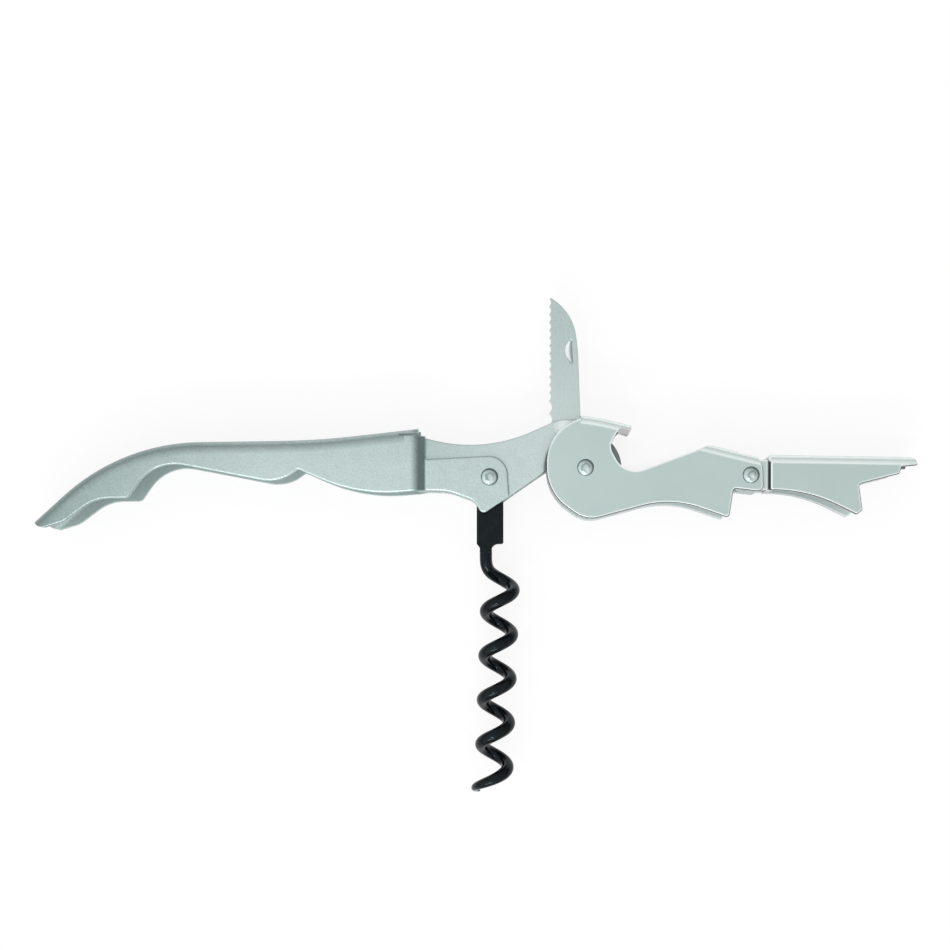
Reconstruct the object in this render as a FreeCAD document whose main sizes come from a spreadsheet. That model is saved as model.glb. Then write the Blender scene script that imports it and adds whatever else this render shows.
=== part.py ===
"""Waiter's corkscrew with a two-stage lever, a serrated foil knife and a coated worm.

The tool lies open on its side: X runs from the grip to the tip of the lever, Y points
away from the worm, and Z is the direction of every rivet. All pieces are drawn about
the lever rivet, in the middle plane of the tool, and are then moved so that the origin
is under the middle of the open tool, on the surface that it lies on.
"""
import FreeCAD, Part
import math
import os
import Sketcher

# Driving sizes in millimetres and degrees, kept in the spreadsheet
SIZES = {
    # Widths across the tool, sheet metal and clearances
    "tool_width": 11.0,
    "grip_sheet": 0.8,
    "plate_sheet": 0.95,
    "lever_sheet": 1.15,
    "slot_width": 3.9,
    "grip_bend": 2.6,
    "lever_bend": 2.0,
    "rim_round": 0.3,
    "bore_clearance": 0.05,
    "side_clearance": 0.05,
    # Rivets
    "rivet_radius": 1.2,
    "rivet_head_radius": 1.65,
    "rivet_head_height": 0.5,
    "worm_rivet_radius": 1.1,
    "worm_rivet_head_radius": 1.7,
    "worm_rivet_head_height": 0.45,
    # Pivots, from the lever rivet
    "hinge_x": 32.5,
    "hinge_y": -1.45,
    "worm_x": -18.9,
    "worm_y": -1.7,
    # Front end of the grip and its stepped walls
    "step_x": -31.6,
    "step_bend": 1.8,
    "step_overlap": 2.2,
    "slit_length": 3.7,
    "slit_height": 0.5,
    "knife_slot_length": 3.3,
    "knife_slot_width": 4.2,
    # Lever
    "tongue_slot_x": 30.4,
    "washer_radius": 4.6,
    "spacer_radius": 3.4,
    "stage2_wall": 1.15,
    "stage2_wall_top": 3.1,
    "stage2_start_round": 0.8,
    "tongue_clearance": 0.2,
    # Knife
    "blade_sheet": 0.95,
    "blade_clearance": 0.15,
    "tooth_pitch": 1.56,
    "tooth_radius": 1.04,
    "tooth_depth": 0.36,
    "tooth_count": 13,
    "tooth_first_y": 14.4,
    "wave_radius": 1.5,
    "wave_depth": 0.55,
    "wave_low_y": 9.9,
    "wave_high_y": 12.3,
    "nick_depth": 0.35,
    # Worm
    "shank_thickness": 2.4,
    "shank_gap": 0.15,
    "wire_radius": 1.25,
    "neck_x": -0.86,
    "neck_start_y": -13.6,
    "neck_end_y": -15.6,
    "helix_axis_x": 2.78,
    "helix_tilt": 1.98,
    "helix_radius": 2.7,
    "helix_zero_y": -22.3,
    "helix_pitch": 8.85,
    "helix_first_angle": -120.0,
    "helix_taper_angle": 1485.0,
    "helix_last_angle": 1655.0,
    "point_spread": 1.3,
    "point_radius": 0.3,
}

# Rounded corners of each outline: x, y and the radius of the corner
OUTLINES = {
    "back": {
        "front": (-33.0, 7.85, 0.0),
        "middle": (-53.0, 5.6, 146.0),
        "bend": (-91.7, 5.0, 40.5),
        "tail": (-110.6, -12.2, 0.0),
    },
    "grip": {
        "above_front": (-30.0, 9.5, 0.0),
        "top_front": (-33.0, 9.5, 0.0),
        "drop": (-33.0, 6.3, 0.0),
        "step_top": (-31.6, 6.3, 0.0),
        "tab_start": (-31.6, 1.8, 0.5),
        "tab_corner": (-15.6, 2.65, 3.7),
        "tab_end": (-15.0, -5.43, 0.5),
        "tab_tip": (-20.3, -9.1, 1.0),
        "tab_hollow": (-22.1, -6.3, 3.0),
        "tab_arch": (-27.2, -4.4, 12.0),
        "wall_low": (-31.7, -4.4, 10.0),
        "belly": (-44.5, -5.5, 32.5),
        "cusp": (-56.5, -0.3, 0.4),
        "finger": (-60.2, -3.1, 8.0),
        "hollow": (-84.6, 1.6, 8.9),
        "thumb": (-89.9, -6.0, 1.2),
        "web": (-96.3, -6.0, 8.7),
        "heel": (-102.4, -10.6, 5.4),
        "tail_low": (-106.3, -11.79, 0.0),
        "tail_end": (-107.6, -11.55, 0.0),
        "tail_above": (-111.5, -8.68, 0.0),
        "above_tail": (-111.5, 9.5, 0.0),
    },
    "plate": {
        "inner_low": (-33.6, -4.25, 0.5),
        "inner_top": (-33.6, 5.6, 0.4),
        "top_left": (-32.4, 6.3, 0.4),
        "saddle": (-20.9, 2.7, 30.0),
        "shoulder_rise": (-5.3, 9.7, 4.6),
        "shoulder": (-1.2, 9.8, 0.3),
        "shoulder_foot": (-0.7, 7.2, 0.5),
        "end_top": (7.2, 7.2, 7.0),
        "end_low": (7.2, -7.2, 7.0),
        "end_left": (-7.2, -7.2, 6.0),
        "neck": (-7.2, -0.03, 0.5),
        "tip": (-20.3, -9.1, 1.0),
        "tip_hollow": (-22.1, -6.3, 3.0),
        "arch": (-27.2, -4.4, 12.0),
    },
    "spine1": {
        "start": (-0.9, 10.45, 0.0),
        "bend": (3.2, 9.87, 30.0),
        "end": (36.0, 1.83, 0.0),
    },
    "stage1": {
        "foot": (-0.9, 9.85, 0.0),
        "above_start": (-0.9, 13.0, 0.0),
        "above_lip": (10.4, 13.0, 0.0),
        "lip": (8.9, 7.2, 0.25),
        "throat_top": (6.85, 7.8, 0.4),
        "throat_rise": (6.2, 6.95, 0.0),
        "throat_back": (4.6, 4.2, 2.6),
        "throat_floor": (7.8, -1.7, 4.4),
        "crest_foot": (21.2, 3.22, 0.0),
        "above_crest": (28.6, 6.08, 0.0),
        "above_end": (32.83, 6.1, 0.0),
        "ear_top": (34.9, -0.1, 0.4),
        "ear_low": (35.0, -4.8, 1.1),
        "step": (29.1, -4.1, 0.6),
        "tooth": (28.2, -9.9, 0.6),
        "belly": (16.9, -6.0, 19.7),
        "disc_low": (0.1, -10.5, 6.2),
        "disc_left": (-7.7, -4.95, 9.6),
        "disc_top": (-7.7, 6.45, 8.8),
    },
    "spine2": {
        "start": (3.46, 4.12, 0.0),
        "end": (34.0, 3.64, 0.0),
    },
    "stage2": {
        "above_start": (-3.0, 7.0, 0.0),
        "above_end": (28.5, 7.1, 0.0),
        "tip_top": (32.7, 2.9, 0.8),
        "tip": (32.7, 1.9, 0.3),
        "cheek_top": (29.6, 1.6, 0.3),
        "cheek_end": (29.1, 0.2, 0.3),
        "step": (21.2, -1.8, 0.6),
        "tooth_right": (21.9, -6.9, 0.4),
        "tooth": (20.8, -7.8, 0.5),
        "belly": (9.6, -2.3, 29.3),
        "start_low": (-3.0, -3.53, 0.0),
    },
    "tongue": {
        "right_low": (4.0, -2.85, 0.0),
        "right_top": (4.0, 3.1, 0.0),
        "left_top": (-3.05, 3.05, 2.9),
        "left_low": (-3.05, -2.95, 2.9),
    },
    "blade": {
        "edge_top": (-7.1, 33.2, 0.4),
        "tip": (-6.9, 34.1, 0.15),
        "back_curve": (-2.4, 31.2, 10.2),
        "back_middle": (-1.4, 23.9, 30.0),
        "back_root": (-0.9, 10.5, 20.0),
        "tang_right": (-0.95, 4.0, 2.0),
        "tang_end_top": (3.4, 3.4, 2.4),
        "tang_end_low": (3.4, -3.4, 3.3),
        "tang_end_left": (-3.4, -3.4, 3.3),
        "tang_left": (-3.4, 4.6, 2.5),
        "root": (-7.1, 8.5, 1.2),
    },
    "nick": {
        "top": (-2.6, 26.3, 0.25),
        "bottom": (-2.2, 20.5, 0.25),
        "bulge": (-4.7, 23.3, 2.8),
    },
    "shank": {
        "top_left": (-2.65, 2.65, 2.6),
        "top_right": (2.65, 2.65, 2.6),
        "step_right": (2.65, -13.1, 0.4),
        "neck_right": (0.3, -13.2, 1.3),
        "end_right": (0.3, -15.3, 0.5),
        "end_left": (-2.0, -15.3, 0.5),
        "neck_left": (-2.1, -14.0, 0.5),
        "step_left": (-2.65, -13.1, 0.4),
    },
}


class Size:
    """A length together with the sheet formula that gives it."""

    def __init__(self, value, formula):
        self.value = value
        self.formula = formula

    def combine(self, other, sign, result):
        text = other.formula if isinstance(other, Size) else repr(other)
        return Size(result, f"({self.formula} {sign} {text})")

    def __add__(self, other):
        return self.combine(other, "+", self.value + number(other))

    def __sub__(self, other):
        return self.combine(other, "-", self.value - number(other))

    def __mul__(self, other):
        return self.combine(other, "*", self.value * number(other))

    def __truediv__(self, other):
        return self.combine(other, "/", self.value / number(other))

    def __neg__(self):
        return self * -1


def number(item):
    """The plain number of a size or of a number."""
    return item.value if isinstance(item, Size) else item


doc = FreeCAD.newDocument("corkscrew")
sheet = doc.addObject("Spreadsheet::Sheet", "Sizes")
cells = {}


def add_cell(alias, value):
    """Write one driving size into the sheet under its alias."""
    row = len(cells) + 1
    sheet.set(f"A{row}", alias)
    sheet.set(f"B{row}", str(value))
    sheet.setAlias(f"B{row}", alias)
    cells[alias] = Size(float(value), f"Sizes.{alias}")


for alias, value in SIZES.items():
    add_cell(alias, value)
for outline_name, named_corners in OUTLINES.items():
    for corner_name, (x, y, radius) in named_corners.items():
        stem = f"{outline_name}_{corner_name}"
        add_cell(stem + "_x", x)
        add_cell(stem + "_y", y)
        if radius > 0:
            add_cell(stem + "_radius", radius)
doc.recompute()


def size(alias):
    return cells[alias]


def corner(outline_name, corner_name):
    """One named corner as three sizes; a sharp corner has radius 0."""
    stem = f"{outline_name}_{corner_name}"
    return cells[stem + "_x"], cells[stem + "_y"], cells.get(stem + "_radius", 0.0)


def outline(outline_name, x=None, y=None):
    """All corners of an outline, moved by a pivot's place where one is given."""
    found = [corner(outline_name, name) for name in OUTLINES[outline_name]]
    if x is None:
        return found
    return [(cx + x, cy + y, radius) for cx, cy, radius in found]


def bind(target, path, item):
    """Tie a property to the sheet, or set it where it is a plain number."""
    if isinstance(item, Size):
        target.setExpression(path, item.formula)
    else:
        setattr(target, path, item)


def new_body(label):
    body = doc.addObject("PartDesign::Body", label)
    body.Label = label
    return body


def new_sketch(body, name, role="XY_Plane", height=None):
    """A sketch on one of the body's origin planes, lifted off it by a height."""
    sketch = body.newObject("Sketcher::SketchObject", name)
    plane = next(item for item in body.Origin.OriginFeatures if item.Role == role)
    sketch.AttachmentSupport = [(plane, "")]
    sketch.MapMode = "FlatFace"
    if height is not None:
        sketch.setExpression("AttachmentOffset.Base.z", height.formula)
    return sketch


def vector(x, y):
    return FreeCAD.Vector(number(x), number(y), 0)


def hold(sketch, kind, arguments, item, name):
    """Add one sized constraint and tie it to the sheet."""
    index = sketch.addConstraint(Sketcher.Constraint(kind, *arguments, number(item)))
    sketch.renameConstraint(index, name)
    if isinstance(item, Size):
        sketch.setExpression(f"Constraints.{name}", item.formula)


def pin_point(sketch, geometry, end, x, y, name):
    """Hold a sketch point at its distances from the sketch origin."""
    if number(x) == 0 and number(y) == 0:
        sketch.addConstraint(Sketcher.Constraint("Coincident", geometry, end, -1, 1))
        return
    hold(sketch, "DistanceX", (-1, 1, geometry, end), x, name + "_x")
    hold(sketch, "DistanceY", (-1, 1, geometry, end), y, name + "_y")


def corner_arc(before, here, after, radius):
    """Tangent points, centre and turning side of a rounded corner."""
    back = (before - here).normalize()
    ahead = (after - here).normalize()
    half = back.getAngle(ahead) / 2
    reach = radius / math.tan(half)
    middle = (back + ahead).normalize()
    centre = here + middle * (radius / math.sin(half))
    turns_left = (here - before).cross(after - here).z > 0
    return here + back * reach, here + ahead * reach, centre, turns_left


def draw(sketch, corners, closed=True, prefix="p"):
    """Draw straight runs through the corners, each rounded to its own radius."""
    points = [vector(x, y) for x, y, _ in corners]
    count = len(points)
    arrive = list(points)
    leave = list(points)
    arcs = {}
    for i, (_, _, radius) in enumerate(corners):
        if number(radius) > 0:
            before = points[i - 1]
            after = points[(i + 1) % count]
            first, last, centre, left = corner_arc(before, points[i], after, number(radius))
            arrive[i] = first
            leave[i] = last
            arcs[i] = (centre, left)
    lines = []
    for i in range(count if closed else count - 1):
        j = (i + 1) % count
        if (points[j] - points[i]).dot(arrive[j] - leave[i]) <= 0:
            raise ValueError(f"{sketch.Label}: corners {i} and {j} overlap")
        lines.append(sketch.addGeometry(Part.LineSegment(leave[i], arrive[j]), False))
    for i, (x, y, radius) in enumerate(corners):
        tag = f"{prefix}{i}"
        first_end = not closed and i == 0
        last_end = not closed and i == count - 1
        line_out = None if last_end else lines[i]
        line_in = None if first_end else lines[i - 1]
        if first_end:
            pin_point(sketch, line_out, 1, x, y, tag)
            continue
        if last_end or i not in arcs:
            pin_point(sketch, line_in, 2, x, y, tag)
            if not last_end:
                joint = Sketcher.Constraint("Coincident", line_in, 2, line_out, 1)
                sketch.addConstraint(joint)
            continue
        centre, left = arcs[i]
        start, stop = (arrive[i], leave[i]) if left else (leave[i], arrive[i])
        angle_from = math.atan2(start.y - centre.y, start.x - centre.x)
        angle_to = math.atan2(stop.y - centre.y, stop.x - centre.x)
        round_ = Part.Circle(centre, FreeCAD.Vector(0, 0, 1), number(radius))
        arc = sketch.addGeometry(Part.ArcOfCircle(round_, angle_from, angle_to), False)
        mark = sketch.addGeometry(Part.Point(points[i]), True)
        begin, finish = (1, 2) if left else (2, 1)
        sketch.addConstraint([
            Sketcher.Constraint("Tangent", line_in, 2, arc, begin),
            Sketcher.Constraint("Tangent", arc, finish, line_out, 1),
            Sketcher.Constraint("PointOnObject", mark, 1, line_in),
            Sketcher.Constraint("PointOnObject", mark, 1, line_out)])
        hold(sketch, "Radius", (arc,), radius, tag + "_r")
        pin_point(sketch, mark, 1, x, y, tag)


def draw_box(sketch, left, low, right, high, prefix="box"):
    draw(sketch, [(left, low, 0), (right, low, 0), (right, high, 0), (left, high, 0)],
         prefix=prefix)


def draw_circle(sketch, x, y, radius, prefix="circle"):
    ring = Part.Circle(vector(x, y), FreeCAD.Vector(0, 0, 1), number(radius))
    index = sketch.addGeometry(ring, False)
    pin_point(sketch, index, 3, x, y, prefix)
    hold(sketch, "Radius", (index,), radius, prefix + "_r")


def extrude(body, kind, name, sketch, length, symmetric=True):
    """A pad or a pocket of a sketch, to both sides of it or to one."""
    feature = body.newObject(f"PartDesign::{kind}", name)
    feature.Profile = sketch
    feature.SideType = "Symmetric" if symmetric else "One side"
    bind(feature, "Length", length)
    sketch.Visibility = False
    return feature


# Room beyond the tool, for cuts that pass right through it
FAR = 150.0
THROUGH = 60.0
# Shorter edges are rounded with the edges that they run into
SHORTEST_RIM = 0.5
LEAST_WIRE_GAP = 0.4

HALF_WIDTH = size("tool_width") / 2
CHEEK_INNER = HALF_WIDTH - size("lever_sheet")
PLATE_INNER = size("slot_width") / 2
PLATE_OUTER = PLATE_INNER + size("plate_sheet")
TAB_OUTER = PLATE_OUTER + size("grip_sheet")
TONGUE_OUTER = CHEEK_INNER - size("tongue_clearance")
TONGUE_INNER = TONGUE_OUTER - size("lever_sheet")
BLADE_TOP = PLATE_INNER - size("blade_clearance")
BLADE_LOW = BLADE_TOP - size("blade_sheet")
SHANK_LOW = -PLATE_INNER + size("shank_gap")
SHANK_MIDDLE = SHANK_LOW + size("shank_thickness") / 2
LEVER_BORE = size("rivet_radius") + size("bore_clearance")
WORM_BORE = size("worm_rivet_radius") + size("bore_clearance")
# How far down each bent channel is made before its outline trims it
BEYOND = 2.0
GRIP_LEG = corner("back", "front")[1] - corner("grip", "tail_low")[1] + BEYOND * 2
STAGE_2_LEG = corner("spine2", "start")[1] - corner("stage2", "tooth")[1] + BEYOND
LEVER_LEG = size("lever_bend") + 1.5
CHEEK_DROP = size("lever_bend") + 0.75
HINGE = (size("hinge_x"), size("hinge_y"))
WORM = (size("worm_x"), size("worm_y"))
ORIGIN_X = Size(0.0, "0")
ORIGIN_Y = Size(0.0, "0")


def add_channel(body, name, path_corners, leg, sheet_name, bend_name):
    """Sweep a U of bent sheet, open downwards, along the line of its back."""
    path = new_sketch(body, name + "_path")
    draw(path, path_corners, closed=False)
    start_x, top, _ = path_corners[0]
    section = new_sketch(body, name + "_section", "YZ_Plane", start_x)
    wall = size(sheet_name)
    bend = size(bend_name)
    inner = HALF_WIDTH - wall
    low = top - leg
    draw(section, [
        (low, -HALF_WIDTH, 0), (top, -HALF_WIDTH, bend), (top, HALF_WIDTH, bend),
        (low, HALF_WIDTH, 0), (low, inner, 0), (top - wall, inner, bend - wall),
        (top - wall, -inner, bend - wall), (low, -inner, 0)])
    doc.recompute()
    pipe = body.newObject("PartDesign::AdditivePipe", name)
    pipe.Profile = section
    pipe.Spine = (path, [f"Edge{i + 1}" for i in range(len(path.Shape.Edges))])
    path.Visibility = False
    section.Visibility = False
    doc.recompute()


def trim_outside(body, name, corners):
    """Cut away all that lies outside a closed outline."""
    sketch = new_sketch(body, name + "_outline")
    draw_box(sketch, -FAR, -FAR, FAR, FAR)
    draw(sketch, corners)
    extrude(body, "Pocket", name, sketch, THROUGH)


def bore(body, name, x, y, radius):
    sketch = new_sketch(body, name + "_circle")
    draw_circle(sketch, x, y, radius)
    extrude(body, "Pocket", name, sketch, THROUGH)


def outer_rim(shape, level, seams=()):
    """Sharp edges around the flat faces at a height, above or below the middle plane.

    Upright edges at a seam, where two stretches of sheet meet, stay as they are.
    """
    names = []
    for index, edge in enumerate(shape.Edges, 1):
        box = edge.BoundBox
        if box.ZLength > 1e-4 or abs(abs(box.Center.z) - number(level)) > 1e-4:
            continue
        at_seam = any(abs(box.Center.x - number(x)) < 0.01 for x in seams)
        if edge.Length < SHORTEST_RIM or (at_seam and box.XLength < 1e-4):
            continue
        middle = edge.valueAt((edge.FirstParameter + edge.LastParameter) / 2)
        faces = shape.ancestorsOfType(edge, Part.Face)
        normals = [face.normalAt(*face.Surface.parameter(middle)) for face in faces]
        if abs(normals[0].dot(normals[-1])) < 0.9:
            names.append(f"Edge{index}")
    return names


def longest_by_side(shape, names):
    """The longest listed edge on each side; the edges that it runs into come with it."""
    chosen = {}
    for name in names:
        edge = shape.getElement(name)
        side = edge.CenterOfMass.z > 0
        if side not in chosen or edge.Length > shape.getElement(chosen[side]).Length:
            chosen[side] = name
    return list(chosen.values())


def end_rim(shape, x, side_z, top_y):
    """Outer edges of a channel where it ends in an upright plane."""
    names = []
    for index, edge in enumerate(shape.Edges, 1):
        box = edge.BoundBox
        if box.XLength > 1e-4 or abs(box.Center.x - number(x)) > 1e-4:
            continue
        middle = edge.valueAt((edge.FirstParameter + edge.LastParameter) / 2)
        on_side = abs(middle.z) > number(side_z) and box.YLength > 0.5
        if on_side or middle.y > number(top_y):
            names.append(f"Edge{index}")
    return names


def round_edges(body, name, edges, radius):
    base = body.Tip
    fillet = body.newObject("PartDesign::Fillet", name)
    fillet.Base = (base, edges)
    bind(fillet, "Radius", radius)
    doc.recompute()


def build_grip():
    """Bent-sheet grip: a channel under the curved back, its walls stepped in to tabs."""
    body = new_body("grip_shell")
    add_channel(body, "grip_channel", outline("back"), GRIP_LEG,
                "grip_sheet", "grip_bend")
    step_x = size("step_x")
    drop = HALF_WIDTH - TAB_OUTER
    bend_x = step_x - drop
    wall_end = bend_x - size("step_overlap")
    top_front_x = corner("grip", "top_front")[0]
    wall_top = corner("grip", "drop")[1]
    slit_top = wall_top + size("slit_height")
    slit_x = top_front_x - size("slit_length")
    opening = new_sketch(body, "grip_front_opening")
    draw(opening, [
        (wall_end, -FAR, 0), (FAR, -FAR, 0), (FAR, slit_top, 0), (slit_x, slit_top, 0),
        (slit_x, wall_top, 0), (wall_end, wall_top, 0)])
    extrude(body, "Pocket", "grip_front_cut", opening, THROUGH)

    slot = new_sketch(body, "grip_knife_slot_plan", "XZ_Plane")
    slot_half = size("knife_slot_width") / 2
    draw_box(slot, top_front_x - size("knife_slot_length"), -slot_half, FAR, slot_half)
    extrude(body, "Pocket", "grip_knife_slot", slot, THROUGH)

    steps = new_sketch(body, "grip_step_plan", "XZ_Plane", -wall_top)
    wall = size("grip_sheet")
    bend = size("step_bend")
    shift = wall * math.tan(math.radians(22.5))
    reach = corner("grip", "tab_end")[0] + 2.0
    for side, tag in ((1.0, "front"), (-1.0, "back")):
        draw(steps, [
            (wall_end, HALF_WIDTH * side, 0), (bend_x, HALF_WIDTH * side, bend),
            (step_x, TAB_OUTER * side, 0), (reach, TAB_OUTER * side, 0),
            (reach, PLATE_OUTER * side, 0), (step_x - shift, PLATE_OUTER * side, 0),
            (bend_x - shift, (HALF_WIDTH - wall) * side, bend - wall),
            (wall_end, (HALF_WIDTH - wall) * side, 0)], prefix=tag)
    extrude(body, "Pad", "grip_steps", steps, GRIP_LEG, symmetric=False)
    trim_outside(body, "grip_trim", outline("grip"))
    bore(body, "grip_worm_bore", *WORM, size("worm_rivet_radius"))
    doc.recompute()
    rims = longest_by_side(body.Shape, outer_rim(body.Shape, HALF_WIDTH))
    rims += outer_rim(body.Shape, TAB_OUTER, (step_x,))
    round_edges(body, "grip_rims", rims, size("rim_round"))
    return body


def pad_plate(label, name, corners, low, thickness):
    """A flat piece: a body with one outline padded up from its lower face."""
    body = new_body(label)
    sketch = new_sketch(body, name, height=low)
    draw(sketch, corners)
    extrude(body, "Pad", name + "_pad", sketch, thickness, symmetric=False)
    return body


def build_head_plate(label, low, outer):
    """One of the two flat plates that carry the lever rivet, under a tab of the grip."""
    body = pad_plate(label, label + "_outline", outline("plate"), low, size("plate_sheet"))
    bore(body, label + "_lever_bore", 0, 0, LEVER_BORE)
    bore(body, label + "_worm_bore", *WORM, size("worm_rivet_radius"))
    doc.recompute()
    round_edges(body, label + "_rims", outer_rim(body.Shape, outer), size("rim_round") / 2)
    return body


def build_ring(label, low, thickness, radius, hole):
    """A flat ring around the lever rivet."""
    body = new_body(label)
    sketch = new_sketch(body, label + "_rings", height=low)
    draw_circle(sketch, 0, 0, radius, "rim")
    draw_circle(sketch, 0, 0, hole, "hole")
    extrude(body, "Pad", label + "_pad", sketch, thickness, symmetric=False)
    return body


def build_rivet(label, x, y, shaft_radius, head_radius, head_height, grip_half):
    """A rivet along Z with a low domed head at both ends."""
    body = new_body(label)
    sketch = new_sketch(body, label + "_half", "XZ_Plane", -y)
    edge = head_height / 4
    crown = head_radius * 0.5
    dome = head_radius * 1.3
    top = grip_half + head_height
    draw(sketch, [
        (x, -top, 0), (x + crown, -top, dome), (x + head_radius, -grip_half - edge, 0),
        (x + head_radius, -grip_half, 0), (x + shaft_radius, -grip_half, 0),
        (x + shaft_radius, grip_half, 0), (x + head_radius, grip_half, 0),
        (x + head_radius, grip_half + edge, 0), (x + crown, top, dome), (x, top, 0)])
    axis = sketch.addGeometry(
        Part.LineSegment(vector(x, -grip_half), vector(x, grip_half)), True)
    pin_point(sketch, axis, 1, x, -grip_half, "axis_low")
    pin_point(sketch, axis, 2, x, grip_half, "axis_high")
    turn = body.newObject("PartDesign::Revolution", label + "_turned")
    turn.Profile = sketch
    turn.ReferenceAxis = (sketch, ["Axis0"])
    turn.Angle = 360
    return body


def build_stage_1():
    """First stage: two cheeks with a round head, joined by a bent spine in two places."""
    body = new_body("lever_stage_1")
    spine = outline("spine1")
    add_channel(body, "stage_1_channel", spine, LEVER_LEG,
                "lever_sheet", "lever_bend")
    start_x, start_y, _ = spine[0]
    end_x, end_y, _ = spine[-1]
    drop = CHEEK_DROP
    for tag, low in (("front", CHEEK_INNER), ("back", -HALF_WIDTH)):
        cheek = new_sketch(body, f"stage_1_{tag}_cheek", height=low)
        draw(cheek, [
            (-FAR, -FAR, 0), (FAR, -FAR, 0), (FAR, end_y - drop, 0),
            (end_x, end_y - drop, 0), (start_x, start_y - drop, 0),
            (start_x, FAR, 0), (-FAR, FAR, 0)])
        extrude(body, "Pad", f"stage_1_{tag}_pad", cheek, size("lever_sheet"),
                symmetric=False)
    trim_outside(body, "stage_1_trim", outline("stage1"))
    notch = new_sketch(body, "stage_1_notch_plan")
    draw_box(notch, size("tongue_slot_x"), -FAR, FAR, FAR)
    extrude(body, "Pocket", "stage_1_notch", notch, CHEEK_INNER * 2)
    bore(body, "stage_1_lever_bore", 0, 0, LEVER_BORE)
    bore(body, "stage_1_hinge_bore", *HINGE, size("rivet_radius"))
    doc.recompute()
    left = number(corner("stage1", "throat_back")[0])
    right = number(corner("stage1", "crest_foot")[0])
    low = number(corner("stage1", "throat_floor")[1])
    rims = []
    for name in outer_rim(body.Shape, HALF_WIDTH, (start_x,)):
        middle = body.Shape.getElement(name).CenterOfMass
        if not (left < middle.x < right and middle.y > low):
            rims.append(name)
    round_edges(body, "stage_1_rims", rims, size("rim_round"))
    return body


def build_stage_2():
    """Second stage: a bent channel closed by a wall, with a narrow tongue at the hinge."""
    body = new_body("lever_stage_2")
    hinge_x, hinge_y = HINGE
    spine = outline("spine2", *HINGE)
    add_channel(body, "stage_2_channel", spine, STAGE_2_LEG,
                "lever_sheet", "lever_bend")
    trim_outside(body, "stage_2_trim", outline("stage2", *HINGE))
    wall_x = spine[0][0]
    under = spine[0][1] - size("lever_sheet")
    low_y = corner("tongue", "right_low")[1] + hinge_y
    wall = new_sketch(body, "stage_2_wall_side")
    draw_box(wall, wall_x, low_y, wall_x + size("stage2_wall"),
             size("stage2_wall_top") + hinge_y)
    extrude(body, "Pad", "stage_2_wall", wall, CHEEK_INNER * 2 + size("lever_sheet"))
    doc.recompute()
    start_edges = end_rim(body.Shape, wall_x, CHEEK_INNER, under)
    round_edges(body, "stage_2_start_round", start_edges, size("stage2_start_round"))
    tongue = new_sketch(body, "stage_2_tongue_side")
    draw(tongue, outline("tongue", *HINGE))
    extrude(body, "Pad", "stage_2_tongue", tongue, TONGUE_OUTER * 2)
    gap = new_sketch(body, "stage_2_tongue_gap_side")
    draw_box(gap, 0, -FAR, wall_x, FAR)
    extrude(body, "Pocket", "stage_2_tongue_gap", gap, TONGUE_INNER * 2)
    bore(body, "stage_2_hinge_bore", *HINGE, LEVER_BORE)
    doc.recompute()
    round_edges(body, "stage_2_rims", outer_rim(body.Shape, HALF_WIDTH), size("rim_round"))
    return body


def build_blade():
    """Foil knife: a flat blade with a toothed edge on its left and a nail nick."""
    body = pad_plate("blade", "blade_outline", outline("blade"), BLADE_LOW,
                     size("blade_sheet"))
    edge_x = corner("blade", "root")[0]
    bite_x = edge_x - size("tooth_radius") + size("tooth_depth")
    bite = new_sketch(body, "blade_bite_circle")
    draw_circle(bite, bite_x, size("tooth_first_y"), size("tooth_radius"))
    cut = extrude(body, "Pocket", "blade_bite", bite, THROUGH)
    row = body.newObject("PartDesign::LinearPattern", "blade_teeth")
    row.Originals = [cut]
    row.Direction = (bite, ["V_Axis"])
    body.Tip = row
    bind(row, "Length", size("tooth_pitch") * (size("tooth_count") - 1))
    bind(row, "Occurrences", size("tooth_count"))
    doc.recompute()
    waves = new_sketch(body, "blade_wave_circles")
    wave_x = edge_x - size("wave_radius") + size("wave_depth")
    draw_circle(waves, wave_x, size("wave_low_y"), size("wave_radius"), "low")
    draw_circle(waves, wave_x, size("wave_high_y"), size("wave_radius"), "high")
    extrude(body, "Pocket", "blade_waves", waves, THROUGH)
    nick = new_sketch(body, "blade_nick_outline", height=BLADE_TOP)
    draw(nick, outline("nick"))
    extrude(body, "Pocket", "blade_nick", nick, size("nick_depth"), symmetric=False)
    bore(body, "blade_bore", 0, 0, LEVER_BORE)
    doc.recompute()
    return body


def build_shank():
    """Flat top of the worm, with a round end at its rivet and a neck below."""
    shank = pad_plate("worm_shank", "shank_outline", outline("shank", *WORM), SHANK_LOW,
                      size("shank_thickness"))
    bore(shank, "shank_bore", *WORM, WORM_BORE)
    doc.recompute()
    return shank


def helix_point(angle):
    """Place and direction of the wound wire's centre line at an angle in degrees.

    The turns keep one radius down to the taper, where they open towards the point.
    """
    turn = math.radians(angle)
    taper = math.radians(number(size("helix_taper_angle")))
    thinning = math.radians(number(size("helix_last_angle"))) - taper
    along_point = max(0.0, (turn - taper) / thinning)
    spread = number(size("point_spread"))
    radius = number(size("helix_radius")) + spread * along_point ** 2
    opening = 2 * spread * along_point / thinning
    fall = number(size("helix_pitch")) / (2 * math.pi)
    axis_x = number(WORM[0] + size("helix_axis_x"))
    flat = FreeCAD.Vector(radius * math.cos(turn),
                          number(size("helix_zero_y")) - fall * turn,
                          radius * math.sin(turn))
    along = FreeCAD.Vector(opening * math.cos(turn) - radius * math.sin(turn), -fall,
                           opening * math.sin(turn) + radius * math.cos(turn))
    tilt = FreeCAD.Rotation(FreeCAD.Vector(0, 0, 1), -number(size("helix_tilt")))
    place = tilt.multVec(flat) + FreeCAD.Vector(axis_x, number(WORM[1]), 0)
    return place, tilt.multVec(along).normalize()


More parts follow.
